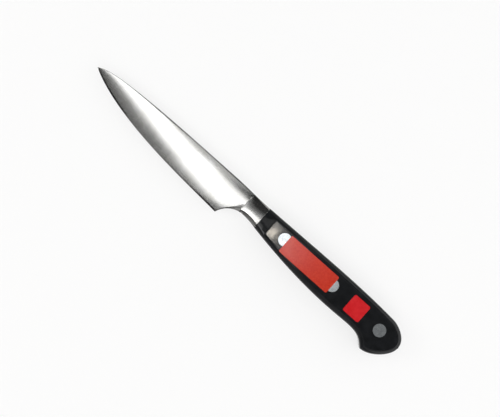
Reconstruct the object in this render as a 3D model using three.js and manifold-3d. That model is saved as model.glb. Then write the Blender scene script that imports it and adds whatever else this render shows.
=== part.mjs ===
// A small forged kitchen knife with a full tang, lying on its right side.
// One forging is blade, bolster and tang. Two scales close on the tang, and three two-piece
// rivets hold them. A paper label and a square inlay lie on the left scale.
// Knife frame, in millimetres: x runs from the tip to the butt with 0 where the scales start,
// y runs from the edge to the spine with 0 on the straight spine, z 0 is the middle of the blade.
import * as THREE from 'three';
import { mergeVertices } from 'three/addons/utils/BufferGeometryUtils.js';
import Module from 'manifold-3d';

const wasm = await Module();
wasm.setup();
const { clamp, lerp } = THREE.MathUtils;

// Blade outline
const BLADE_LENGTH = 90; // tip to heel, along the knife
const HEEL_DEPTH = 19.6; // spine down to the heel
const TIP_DROP = 5; // spine down to the tip
const SPINE_FALL = 64; // stretch behind the tip over which the spine bends down
const SPINE_FALL_REACH = 57; // how long the spine stays flat within that stretch
const TIP_SPINE_REACH = 3.2; // length and rise of the spine's first run behind the tip
const TIP_SPINE_RISE = 1.75;
const EDGE_TIP_REACH = 24; // length and slope of the edge's run into the tip
const EDGE_TIP_SLOPE = 0.54;
const EDGE_HEEL_REACH = 17; // length and slope of the edge's run out of the heel
const EDGE_HEEL_SLOPE = 0.072;

// Blade section
const SPINE_THICKNESS = 2.2; // at the heel
const TIP_THICKNESS = 0.5; // the spine's thickness where it meets the tip
const GRIND_THICKNESS = 0.4; // where the ground face meets the cutting bevel
const BEVEL_HEIGHT = 0.9; // cutting bevel
const BEVEL_SHARE = 0.75; // the bevel's largest share of the blade's height, near the tip
const SPINE_EASE = 0.15; // broken corners of the spine
const GRIND_CURVE = 1.6; // 1 is a flat grind, more is a fuller one

// Neck and bolster
const NECK_LENGTH = 19.3; // heel to the scales
const NECK_HEIGHT = 11.55; // spine to the crown of the finger notch
const NOTCH_RADIUS = 11.5; // wheel that grinds the finger notch behind the heel
const BOLSTER_THICKNESS = 9.2; // where it meets the scales
const BOLSTER_LEAD = 2.4; // the bolster starts this far ahead of the notch's crown
const BOLSTER_FILLET = 0.035; // share of its length that curves out of the ground face
const BOLSTER_CROWN = 0.6; // how far its sides fall away from their middle
const BOLSTER_GROWTH = 4; // 1 shapes its sides evenly towards the scales, more does it sooner
const BOLSTER_ROUND = 1.2; // its upper edge at the scales
const HEEL_RIM_RISE = 0.6; // worn edge of the notch at the heel: up the face, and into the thickness
const HEEL_RIM_INSET = 0.05;
const NECK_RIM_RISE = 1.4; // the same at the bolster's front
const NECK_RIM_INSET = 0.35;
const BOLSTER_RIM_RISE = 2.05; // the same at the scales
const BOLSTER_RIM_INSET = 1.35;
const RIM_BULGE = 0.2; // 0 is a flat bevel, 1 is round
const NECK_REACH = 3.5; // how far the underside stays level behind the notch's crown
const JOINT_REACH = 3; // how far it runs straight into the belly
const SPINE_DIP = 0.5; // the spine's sag at the scales, and how far ahead it starts
const SPINE_DIP_LENGTH = 22;
const SPINE_DIP_REACH = 5.5; // how far the sag's two ends run level
const SPINE_LEVEL_REACH = 11;

// Handle outline
const HANDLE_LENGTH = 91.4; // scales to the end of the butt
const JOINT_DEPTH = 12.55; // spine to the underside where the scales start
const BELLY_REACH = 38; // length and slope of the underside's run out of the bolster
const BELLY_SLOPE = 0.18;
const WAIST_SETBACK = 26.4; // butt end to the slim place ahead of the hook
const WAIST_DEPTH = 17.35;
const WAIST_REACH = 7;
const HOOK_SETBACK = 13.8; // butt end to the point of the hook
const HOOK_DEPTH = 22.4;
const HOOK_HOLLOW = 8.7; // reach of the hollow ahead of the hook
const HOOK_LEAN = 3.1; // run and rise of the hook's front face
const HOOK_RISE = 2.6;
const BUTT_LOWER_REACH = 5.9; // how far the butt's lower face runs level out of the hook
const BUTT_DEPTH = 9.9; // spine to the middle of the butt end
const BUTT_FLAT = 1; // height of the butt's flat end
const BUTT_TOP_SETBACK = 10.4; // butt end to where the back turns down
const BUTT_TOP_DROP = 1;
const BUTT_TOP_REACH = 3.6;
const BUTT_END_REACH = 4.9; // how far the butt's end runs straight up and down
const CROWN_FRONT = 0.3; // rise of the handle's back, front and rear
const CROWN_REAR = 1.8;
const CROWN_FRONT_REACH = 34;
const CROWN_REAR_REACH = 24;

// Handle section
const TANG_THICKNESS = 2.4;
const SCALE_THICKNESS = 5;
const BOND_GAP = 0.05; // adhesive film between a scale and the tang
const JOINT_GAP = 0.1; // bolster to scale
const EDGE_ROUND = 2.2; // rounded edges of the scales
const RAMP_LENGTH = 6; // the scales rise from the bolster to their full thickness

// Rivets
const RIVET_HEAD_DIAMETER = 6.7;
const RIVET_HEAD_HEIGHT = 1.5;
const RIVET_PIN_DIAMETER = 3.2;
const RIVET_SLEEVE_WALL = 0.7;
const RIVET_PIN_END_GAP = 0.5; // pin end to the bottom of its sleeve
const RIVET_FIT = 0.1; // gap all round a rivet
const FRONT_RIVET_SETBACK = 15.3; // from the scales' front
const FRONT_RIVET_DEPTH = 7.1; // below the spine
const REAR_RIVET_SETBACK = 12.6; // from the butt's end
const REAR_RIVET_DEPTH = 9.4;

// Label and inlay
const LABEL_LENGTH = 30.7;
const LABEL_WIDTH = 10;
const LABEL_THICKNESS = 0.12;
const LABEL_CORNER = 0.7;
const LABEL_SHIFT = new THREE.Vector2(0.7, -0.5); // from the middle of its two rivets
const INLAY_SIDE = 9.9;
const INLAY_THICKNESS = 1;
const INLAY_CORNER = 1;
const INLAY_FIT = 0.1;
const INLAY_SHARE = 0.515; // its place, as a share of the way from the middle rivet to the rear one

// Facets
const BLADE_STEPS = 32;
const BLADE_CROWDING = 1.4; // 1 spaces the blade's steps evenly, more crowds them at the tip
const NOTCH_STEPS = 10;
const BOLSTER_STEPS = 11;
const BOLSTER_CROWDING = 1.6; // the same at the bolster's front
const RAMP_STEPS = 3;
const BELLY_STEPS = 12;
const HOOK_STEPS = 9;
const BUTT_STEPS = 12;
const FACE_STEPS = 6;
const CORNER_STEPS = 4;
const CIRCLE_STEPS = 32;

// Materials
const STEEL = new THREE.MeshStandardMaterial({ color: 0xc9c9c6, metalness: 1, roughness: 0.28 });
const RIVET_STEEL = new THREE.MeshStandardMaterial({ color: 0xb4b8ba, metalness: 1, roughness: 0.38 });
const BLACK_ACETAL = new THREE.MeshStandardMaterial({ color: 0x1b1c1e, metalness: 0, roughness: 0.42 });
const LABEL_PAPER = new THREE.MeshStandardMaterial({ color: 0xcf3227, metalness: 0, roughness: 0.4 });
const INLAY_ENAMEL = new THREE.MeshStandardMaterial({ color: 0xc6282e, metalness: 0, roughness: 0.3 });

// Derived places
const scaleInner = TANG_THICKNESS / 2 + BOND_GAP;
const handleHalf = scaleInner + SCALE_THICKNESS;
const bolsterHalf = BOLSTER_THICKNESS / 2;
const pinRadius = RIVET_PIN_DIAMETER / 2;
const boreRadius = pinRadius + RIVET_FIT;
const sleeveRadius = boreRadius + RIVET_SLEEVE_WALL;
const headRadius = RIVET_HEAD_DIAMETER / 2;
const headFloor = handleHalf - RIVET_HEAD_HEIGHT;
const heel = new THREE.Vector2(-NECK_LENGTH, -HEEL_DEPTH);
const tip = new THREE.Vector2(heel.x - BLADE_LENGTH, -TIP_DROP);
const waistX = HANDLE_LENGTH - WAIST_SETBACK;
const hookX = HANDLE_LENGTH - HOOK_SETBACK;
const buttTopX = HANDLE_LENGTH - BUTT_TOP_SETBACK;

// The notch's wheel touches the neck's underside from below and passes through the heel.
const wheelY = -NECK_HEIGHT - NOTCH_RADIUS;
const wheel = new THREE.Vector2(heel.x + Math.sqrt(NOTCH_RADIUS ** 2 - (heel.y - wheelY) ** 2), wheelY);
const bolsterFront = wheel.x - BOLSTER_LEAD;

// The rivets stand in a straight row, the middle one halfway.
const frontRivet = new THREE.Vector2(FRONT_RIVET_SETBACK, -FRONT_RIVET_DEPTH);
const rearRivet = new THREE.Vector2(HANDLE_LENGTH - REAR_RIVET_SETBACK, -REAR_RIVET_DEPTH);
const middleRivet = frontRivet.clone().lerp(rearRivet, 0.5);
const rivets = { front: frontRivet, middle: middleRivet, rear: rearRivet };

// The knife's back, from the tip along the spine and the handle to the butt's end.
const backLine = new THREE.Path()
  .moveTo(tip.x, tip.y)
  .bezierCurveTo(
    tip.x + TIP_SPINE_REACH, tip.y + TIP_SPINE_RISE,
    tip.x + SPINE_FALL - SPINE_FALL_REACH, 0,
    tip.x + SPINE_FALL, 0,
  )
  .lineTo(-SPINE_DIP_LENGTH, 0)
  .bezierCurveTo(SPINE_DIP_REACH - SPINE_DIP_LENGTH, 0, -SPINE_LEVEL_REACH, -SPINE_DIP, 0, -SPINE_DIP)
  .bezierCurveTo(
    CROWN_FRONT_REACH, CROWN_FRONT - SPINE_DIP,
    buttTopX - CROWN_REAR_REACH, CROWN_REAR - BUTT_TOP_DROP,
    buttTopX, -BUTT_TOP_DROP,
  )
  .bezierCurveTo(
    buttTopX + BUTT_TOP_REACH, -BUTT_TOP_DROP - (BUTT_TOP_REACH * CROWN_REAR) / CROWN_REAR_REACH,
    HANDLE_LENGTH, BUTT_FLAT / 2 + BUTT_END_REACH - BUTT_DEPTH,
    HANDLE_LENGTH, BUTT_FLAT / 2 - BUTT_DEPTH,
  );

// The underside: cutting edge, finger notch, neck, belly, waist, hook and the butt's lower face.
const underLine = new THREE.Path()
  .moveTo(tip.x, tip.y)
  .bezierCurveTo(
    tip.x + EDGE_TIP_REACH, tip.y - EDGE_TIP_REACH * EDGE_TIP_SLOPE,
    heel.x - EDGE_HEEL_REACH, heel.y + EDGE_HEEL_REACH * EDGE_HEEL_SLOPE,
    heel.x, heel.y,
  )
  .absarc(wheel.x, wheel.y, NOTCH_RADIUS, heel.clone().sub(wheel).angle(), Math.PI / 2, true)
  .bezierCurveTo(
    wheel.x + NECK_REACH, -NECK_HEIGHT,
    -JOINT_REACH, -JOINT_DEPTH + JOINT_REACH * BELLY_SLOPE,
    0, -JOINT_DEPTH,
  )
  .bezierCurveTo(
    BELLY_REACH, -JOINT_DEPTH - BELLY_REACH * BELLY_SLOPE,
    waistX - WAIST_REACH, -WAIST_DEPTH,
    waistX, -WAIST_DEPTH,
  )
  .bezierCurveTo(
    waistX + HOOK_HOLLOW, -WAIST_DEPTH,
    hookX - HOOK_LEAN, HOOK_RISE - HOOK_DEPTH,
    hookX, -HOOK_DEPTH,
  )
  .bezierCurveTo(
    hookX + BUTT_LOWER_REACH, -HOOK_DEPTH,
    HANDLE_LENGTH, -BUTT_FLAT / 2 - BUTT_END_REACH - BUTT_DEPTH,
    HANDLE_LENGTH, -BUTT_FLAT / 2 - BUTT_DEPTH,
  );

// Height of an outline at x. Every outline runs towards +x.
function heightAt(path, x) {
  const curve = path.curves.find((c) => x <= c.getPoint(1).x) ?? path.curves.at(-1);
  let low = 0;
  let high = 1;
  for (let i = 0; i < 50; i++) {
    const mid = (low + high) / 2;
    if (curve.getPoint(mid).x < x) low = mid;
    else high = mid;
  }
  return curve.getPoint(high).y;
}

// Values from a to b without b: evenly, or ever closer towards b.
function evenly(a, b, count) {
  return Array.from({ length: count }, (_, i) => a + ((b - a) * i) / count);
}

function closing(a, b, count) {
  return Array.from({ length: count }, (_, i) => a + (b - a) * Math.sin((Math.PI / 2) * (i / count)));
}

// A closed skin over sections at rising x, each a list of [y, z] of the same length, in order from
// the underside by +z to the back.
function loft(sections) {
  const size = sections[0].outline.length;
  const positions = sections.flatMap(({ x, outline }) => outline.flatMap(([y, z]) => [x, y, z]));
  const triangles = [];
  for (let s = 0; s + 1 < sections.length; s++) {
    for (let i = 0; i < size; i++) {
      const [a, b] = [s * size + i, s * size + ((i + 1) % size)];
      triangles.push(a, a + size, b + size, a, b + size, b);
    }
  }
  const last = (sections.length - 1) * size;
  for (let i = 1; i + 1 < size; i++) {
    triangles.push(0, i, i + 1, last, last + i + 1, last + i);
  }
  return new THREE.BufferGeometry()
    .setAttribute('position', new THREE.Float32BufferAttribute(positions, 3))
    .setIndex(triangles);
}

// A section's corner lies within its rise, up the face, and its inset, into the thickness.
// Its bulge runs from 0, a flat bevel, to 1, a full round.
const bevelled = (rise, inset) => ({ rise, inset, bulge: 0 });
const rounded = (size) => ({ rise: size, inset: size, bulge: 1 });

// The corner at a share of the way from one to another.
const between = (from, to, share) => ({
  rise: lerp(from.rise, to.rise, share),
  inset: lerp(from.inset, to.inset, share),
  bulge: lerp(from.bulge, to.bulge, share),
});

// How far a corner has gone out along its rise and up along its inset, at t from 0 to 1.
function cornerAt({ rise, inset, bulge }, t) {
  const turn = (Math.PI / 2) * t;
  return [rise * lerp(t, 1 - Math.cos(turn), bulge), inset * lerp(t, Math.sin(turn), bulge)];
}

// The outer side of a section on +z: a lower corner, the side face and an upper corner.
// face gives half the thickness at a height.
function sideOutline(bottom, top, face, lower, upper) {
  const [low, high] = [bottom + lower.rise, top - upper.rise];
  const steps = [...evenly(0, 1, CORNER_STEPS), 1];
  const lowerCorner = steps.map((t) => {
    const [out, up] = cornerAt(lower, t);
    return [bottom + out, face(low) - lower.inset + up];
  });
  const upperCorner = steps.toReversed().map((t) => {
    const [out, up] = cornerAt(upper, t);
    return [top - out, face(high) - upper.inset + up];
  });
  const side = evenly(low, high, FACE_STEPS).slice(1).map((y) => [y, face(y)]);
  return [...lowerCorner, ...side, ...upperCorner];
}

// A section that is alike on both sides.
const bothSides = (side) => [...side, ...side.map(([y, z]) => [y, -z]).reverse()];

// A solid to cut and join. Triangles that close up at the tip, at an edge or at a seam are dropped.
function solid(geometry) {
  const bare = geometry.clone();
  bare.deleteAttribute('normal');
  bare.deleteAttribute('uv');
  const merged = mergeVertices(bare);
  const triangles = [];
  for (let i = 0; i < merged.index.count; i += 3) {
    const triangle = merged.index.array.slice(i, i + 3);
    if (new Set(triangle).size === 3) triangles.push(...triangle);
  }
  return new wasm.Manifold(
    new wasm.Mesh({
      numProp: 3,
      vertProperties: new Float32Array(merged.attributes.position.array),
      triVerts: new Uint32Array(triangles),
    }),
  );
}

function geometryOf(made) {
  const { vertProperties, triVerts } = made.getMesh();
  const geometry = new THREE.BufferGeometry()
    .setAttribute('position', new THREE.BufferAttribute(vertProperties, 3))
    .setIndex(new THREE.BufferAttribute(triVerts, 1));
  geometry.computeVertexNormals();
  return geometry;
}

// A round cutter along z from low to high.
function roundCutter(place, radius, low, high) {
  return solid(
    new THREE.CylinderGeometry(radius, radius, high - low, CIRCLE_STEPS)
      .rotateX(Math.PI / 2)
      .translate(place.x, place.y, (low + high) / 2),
  );
}

// A flat piece with round corners about a place, from z low up.
function roundedPlate(place, length, width, corner, low, thickness) {
  const [x, y] = [length / 2, width / 2];
  const shape = new THREE.Shape()
    .moveTo(corner - x, -y)
    .lineTo(x - corner, -y)
    .absarc(x - corner, corner - y, corner, -Math.PI / 2, 0)
    .lineTo(x, y - corner)
    .absarc(x - corner, y - corner, corner, 0, Math.PI / 2)
    .lineTo(corner - x, y)
    .absarc(corner - x, y - corner, corner, Math.PI / 2, Math.PI)
    .lineTo(-x, corner - y)
    .absarc(corner - x, corner - y, corner, Math.PI, Math.PI * 1.5);
  const settings = { depth: thickness, bevelEnabled: false, curveSegments: CORNER_STEPS };
  return new THREE.ExtrudeGeometry(shape, settings).translate(place.x, place.y, low);
}

// Ground faces: they thin from the bolster to the tip, and from the spine to the edge on a full curve.
// Behind the heel they run on above the notch.
function groundFace(x) {
  const top = heightAt(backLine, x);
  const edge = x < heel.x ? heightAt(underLine, x) : heel.y;
  const half = lerp(TIP_THICKNESS, SPINE_THICKNESS, (x - tip.x) / BLADE_LENGTH) / 2;
  const edgeHalf = Math.min(GRIND_THICKNESS / 2, half);
  return (y) => edgeHalf + (half - edgeHalf) * (1 - ((top - y) / (top - edge)) ** GRIND_CURVE);
}

// Blade: ground faces with a cutting bevel below and broken corners at the spine.
function bladeSection(x) {
  const [bottom, top] = [heightAt(underLine, x), heightAt(backLine, x)];
  const face = groundFace(x);
  const rise = Math.min(BEVEL_HEIGHT, (top - bottom) * BEVEL_SHARE);
  const ease = Math.min(SPINE_EASE, (top - bottom - rise) / 2);
  const bevel = bevelled(rise, face(bottom + rise));
  return { x, outline: bothSides(sideOutline(bottom, top, face, bevel, rounded(ease))) };
}

// The worn lower edge behind the cutting edge, which widens from the heel to the scales.
const heelRim = { rise: HEEL_RIM_RISE, inset: HEEL_RIM_INSET, bulge: RIM_BULGE };
const neckRim = { rise: NECK_RIM_RISE, inset: NECK_RIM_INSET, bulge: RIM_BULGE };
const bolsterRim = { rise: BOLSTER_RIM_RISE, inset: BOLSTER_RIM_INSET, bulge: RIM_BULGE };

// Neck: the ground faces cut off by the notch.
function neckSection(x) {
  const [bottom, top] = [heightAt(underLine, x), heightAt(backLine, x)];
  const lower = between(heelRim, neckRim, (x - heel.x) / (bolsterFront - heel.x));
  return { x, outline: bothSides(sideOutline(bottom, top, groundFace(x), lower, rounded(SPINE_EASE))) };
}

// Fall of a crowned side from its middle: half the height up and down it is the crown's depth.
function crowned(bottom, top, depth) {
  return (y) => depth * ((2 * y - bottom - top) / (top - bottom)) ** 2;
}

// Bolster: the ground faces curve into a wedge with crowned sides, as thick as the scales' front.
function bolsterSection(along) {
  const x = bolsterFront * (1 - along);
  const curved = Math.min(along, BOLSTER_FILLET);
  const run = curved ** 2 / (2 * BOLSTER_FILLET) + along - curved;
  const flared = run / (1 - BOLSTER_FILLET / 2);
  const [bottom, top] = [heightAt(underLine, x), heightAt(backLine, x)];
  const ground = groundFace(x);
  const half = lerp(ground(top), bolsterHalf, flared);
  const shaped = 1 - (1 - flared) ** BOLSTER_GROWTH;
  const grind = (y) => (ground(y) - ground(top)) * (1 - shaped);
  const fall = crowned(bottom, top, BOLSTER_CROWN * shaped);
  const face = (y) => half + grind(y) - fall(y);
  const lower = between(neckRim, bolsterRim, shaped);
  const upper = rounded(lerp(SPINE_EASE, BOLSTER_ROUND, flared));
  return { x, outline: bothSides(sideOutline(bottom, top, face, lower, upper)) };
}

// The stations close up towards the tip, and behind the heel they follow the notch's wheel.
function bladeAndBolster() {
  const blade = [...evenly(0, 1, BLADE_STEPS), 1]
    .slice(1)
    .map((t) => tip.x + BLADE_LENGTH * t ** BLADE_CROWDING);
  const heelTurn = heel.clone().sub(wheel).angle();
  const neckTurn = Math.acos(-BOLSTER_LEAD / NOTCH_RADIUS);
  const neck = evenly(heelTurn, neckTurn, NOTCH_STEPS)
    .slice(1)
    .map((turn) => wheel.x + NOTCH_RADIUS * Math.cos(turn));
  const bolster = [...evenly(0, 1, BOLSTER_STEPS), 1].map((t) => t ** BOLSTER_CROWDING);
  const sections = [
    ...blade.map(bladeSection),
    ...neck.map(neckSection),
    ...bolster.map(bolsterSection),
  ];
  const point = { x: tip.x, outline: sections[0].outline.map(() => [tip.y, 0]) };
  return solid(loft([point, ...sections]));
}

// Stations along the handle, close together at the hook and round the butt.
const handleStations = [
  ...evenly(JOINT_GAP, RAMP_LENGTH, RAMP_STEPS),
  ...evenly(RAMP_LENGTH, waistX, BELLY_STEPS),
  ...evenly(waistX, hookX, HOOK_STEPS),
  ...closing(hookX, HANDLE_LENGTH, BUTT_STEPS),
  HANDLE_LENGTH,
];

// Tang: a plate with the handle's whole outline, rooted inside the bolster.
function tang() {
  const [rootBottom, rootTop] = [EDGE_ROUND - JOINT_DEPTH, -SPINE_DIP - EDGE_ROUND];
  const stations = [0, ...handleStations];
  const outline = [
    new THREE.Vector2(-TANG_THICKNESS, rootTop),
    new THREE.Vector2(-TANG_THICKNESS, rootBottom),
    new THREE.Vector2(0, rootBottom),
    ...stations.map((x) => new THREE.Vector2(x, heightAt(underLine, x))),
    ...stations.toReversed().map((x) => new THREE.Vector2(x, heightAt(backLine, x))),
    new THREE.Vector2(0, rootTop),
  ];
  const plate = new THREE.ExtrudeGeometry(new THREE.Shape(outline), {
    depth: TANG_THICKNESS,
    bevelEnabled: false,
  });
  return solid(plate.translate(0, 0, -TANG_THICKNESS / 2));
}

function forgingGeometry() {
  let forging = bladeAndBolster().add(tang());
  for (const place of Object.values(rivets)) {
    const hole = roundCutter(place, sleeveRadius + RIVET_FIT, -TANG_THICKNESS, TANG_THICKNESS);
    forging = forging.subtract(hole);
  }
  return geometryOf(forging);
}

// Scale: rises from the bolster on a ramp that takes up its crown and its edges, then lies flat, with
// its outer edges rounded all round.
function scaleSection(x) {
  const [bottom, top] = [heightAt(underLine, x), heightAt(backLine, x)];
  const upRamp = Math.min(1, x / RAMP_LENGTH);
  const intoEnd = clamp((x - (HANDLE_LENGTH - EDGE_ROUND)) / EDGE_ROUND, 0, 1);
  const half = lerp(bolsterHalf, handleHalf, upRamp) - EDGE_ROUND * (1 - Math.sqrt(1 - intoEnd ** 2));
  const round = rounded(Math.min(EDGE_ROUND, (top - bottom) / 3, half - scaleInner));
  const fall = crowned(bottom, top, BOLSTER_CROWN * (1 - upRamp));
  const lower = between(bolsterRim, round, upRamp);
  const upper = between(rounded(BOLSTER_ROUND), round, upRamp);
  const side = sideOutline(bottom, top, (y) => half - fall(y), lower, upper);
  return { x, outline: [[bottom, scaleInner], ...side, [top, scaleInner]] };
}

function scaleSolid() {
  let scale = solid(loft(handleStations.map(scaleSection)));
  for (const place of Object.values(rivets)) {
    const hole = roundCutter(place, sleeveRadius + RIVET_FIT, 0, 2 * handleHalf);
    const headSeat = roundCutter(place, headRadius + RIVET_FIT, headFloor - RIVET_FIT, 2 * handleHalf);
    scale = scale.subtract(hole).subtract(headSeat);
  }
  return scale;
}

// The inlay lies between the middle and rear rivets, its face level with the scale's.
const inlayPlace = middleRivet.clone().lerp(rearRivet, INLAY_SHARE);

function inlayPocket() {
  const side = INLAY_SIDE + 2 * INLAY_FIT;
  const floor = handleHalf - INLAY_THICKNESS - INLAY_FIT;
  return solid(roundedPlate(inlayPlace, side, side, INLAY_CORNER + INLAY_FIT, floor, handleHalf));
}

function inlayGeometry() {
  const floor = handleHalf - INLAY_THICKNESS;
  return roundedPlate(inlayPlace, INLAY_SIDE, INLAY_SIDE, INLAY_CORNER, floor, INLAY_THICKNESS);
}

// The label lies on the left scale and covers half of the front and middle rivets.
function labelGeometry() {
  const place = frontRivet.clone().lerp(middleRivet, 0.5).add(LABEL_SHIFT);
  return roundedPlate(place, LABEL_LENGTH, LABEL_WIDTH, LABEL_CORNER, handleHalf, LABEL_THICKNESS);
}

// Rivet halves are turned about z: a post with a solid pin, and a sleeve that takes the pin.
// Both heads end level with the scales.
function turned(profile) {
  const points = profile.map(([radius, z]) => new THREE.Vector2(radius, z));
  return new THREE.LatheGeometry(points, CIRCLE_STEPS).rotateX(Math.PI / 2);
}

function postGeometry() {
  const pinEnd = -headFloor + RIVET_PIN_END_GAP;
  return turned([[0, pinEnd], [pinRadius, pinEnd], [pinRadius, headFloor], [headRadius, headFloor],
    [headRadius, handleHalf], [0, handleHalf]]);
}

function sleeveGeometry() {
  const mouth = headFloor - RIVET_FIT;
  return turned([[0, -handleHalf], [headRadius, -handleHalf], [headRadius, -headFloor],
    [sleeveRadius, -headFloor], [sleeveRadius, mouth], [boreRadius, mouth], [boreRadius, -headFloor],
    [0, -headFloor]]);
}

// Assembly
const knife = new THREE.Group();

function place(name, geometry, material, at = new THREE.Vector2()) {
  const mesh = new THREE.Mesh(geometry, material);
  mesh.name = name;
  mesh.position.set(at.x, at.y, 0);
  knife.add(mesh);
  return mesh;
}

place('forged_blade', forgingGeometry(), STEEL);
const plainScale = scaleSolid();
place('left_scale', geometryOf(plainScale.subtract(inlayPocket())), BLACK_ACETAL);
place('right_scale', geometryOf(plainScale), BLACK_ACETAL).scale.z = -1;
for (const [name, at] of Object.entries(rivets)) {
  place(`${name}_rivet_post`, postGeometry(), RIVET_STEEL, at);
  place(`${name}_rivet_sleeve`, sleeveGeometry(), RIVET_STEEL, at);
}
place('grip_label', labelGeometry(), LABEL_PAPER);
place('square_inlay', inlayGeometry(), INLAY_ENAMEL);

// The part's origin is under the middle of the knife, on the surface that it lies on.
const box = new THREE.Box3().setFromObject(knife);
const middle = box.getCenter(new THREE.Vector3());
knife.position.set(-middle.x, -middle.y, -box.min.z);

export default knife;
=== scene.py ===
"""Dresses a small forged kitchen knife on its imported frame.

Sizes are in millimetres in the knife's own frame, as on a maker's drawing: x runs from the tip to the
butt with 0 where the scales start, y runs from the edge to the spine with 0 on the straight spine, and
z 0 is the middle of the blade. The knife lies on its right side.
"""

import logging
import math
from collections.abc import Callable, Iterable
from dataclasses import dataclass
from enum import Enum
from functools import cached_property

import bmesh
import bpy
from bmesh.types import BMEdge, BMesh, BMVert
from bpy.types import Material, Mesh, Node, NodeSocket, NodeTree, Object
from mathutils import Matrix, Vector, kdtree

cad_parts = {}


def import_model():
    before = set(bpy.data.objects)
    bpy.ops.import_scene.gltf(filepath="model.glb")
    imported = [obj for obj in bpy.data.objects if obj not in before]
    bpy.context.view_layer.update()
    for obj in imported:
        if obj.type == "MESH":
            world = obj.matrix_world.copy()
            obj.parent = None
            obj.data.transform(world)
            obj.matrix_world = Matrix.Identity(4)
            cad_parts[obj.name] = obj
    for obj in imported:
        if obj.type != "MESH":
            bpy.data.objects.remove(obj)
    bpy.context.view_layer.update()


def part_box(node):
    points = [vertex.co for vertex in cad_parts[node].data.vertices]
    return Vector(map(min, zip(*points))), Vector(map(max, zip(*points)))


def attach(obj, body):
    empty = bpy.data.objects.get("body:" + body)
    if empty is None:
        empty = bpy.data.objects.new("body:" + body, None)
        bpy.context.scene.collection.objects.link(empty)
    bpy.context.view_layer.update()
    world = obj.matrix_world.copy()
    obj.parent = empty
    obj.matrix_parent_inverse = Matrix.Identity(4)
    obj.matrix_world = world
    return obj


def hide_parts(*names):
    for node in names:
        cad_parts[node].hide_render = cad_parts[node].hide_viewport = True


Point = tuple[float, float]
Section = list[Point]
Station = tuple[float, Section]
Inputs = dict[str | int, object]

MILLIMETRE = 0.001
WELD = 1e-4  # points nearer than this, in millimetres, are one
HALVINGS = 40  # steps of the search for a place on a curve
CORNER_STEPS = 10
FACE_STEPS = 30

log = logging.getLogger("knife")


class Side(Enum):
    """The side of the blade that a scale closes on, as its sign along z."""

    LEFT = 1
    RIGHT = -1


class RivetHalf(Enum):
    """The two halves of a cutler's rivet."""

    POST = "post"
    SLEEVE = "sleeve"


def mix(a: float, b: float, share: float) -> float:
    """The value at a share of the way from a to b."""
    return a + (b - a) * share


def evenly(start: float, end: float, count: int, crowding: float = 1.0) -> list[float]:
    """Values from start up to, and without, end. A crowding over 1 crowds them at the start."""
    return [mix(start, end, (step / count) ** crowding) for step in range(count)]


def closing(start: float, end: float, count: int) -> list[float]:
    """Values from start up to, and without, end that lie ever closer together."""
    return [mix(start, end, math.sin(math.pi / 2 * step / count)) for step in range(count)]


@dataclass(frozen=True)
class Span:
    """One cubic curve of an outline, from its start to its end by two handles."""

    start: Point
    leave: Point
    arrive: Point
    end: Point

    def at(self, t: float) -> Point:
        """A point of the curve.

        Args:
            t: 0 at its start, 1 at its end.

        Returns:
            The point's x and y.
        """
        back = 1 - t
        weights = (back**3, 3 * back**2 * t, 3 * back * t**2, t**3)
        points = (self.start, self.leave, self.arrive, self.end)
        return tuple(sum(w * p[axis] for w, p in zip(weights, points)) for axis in range(2))


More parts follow.
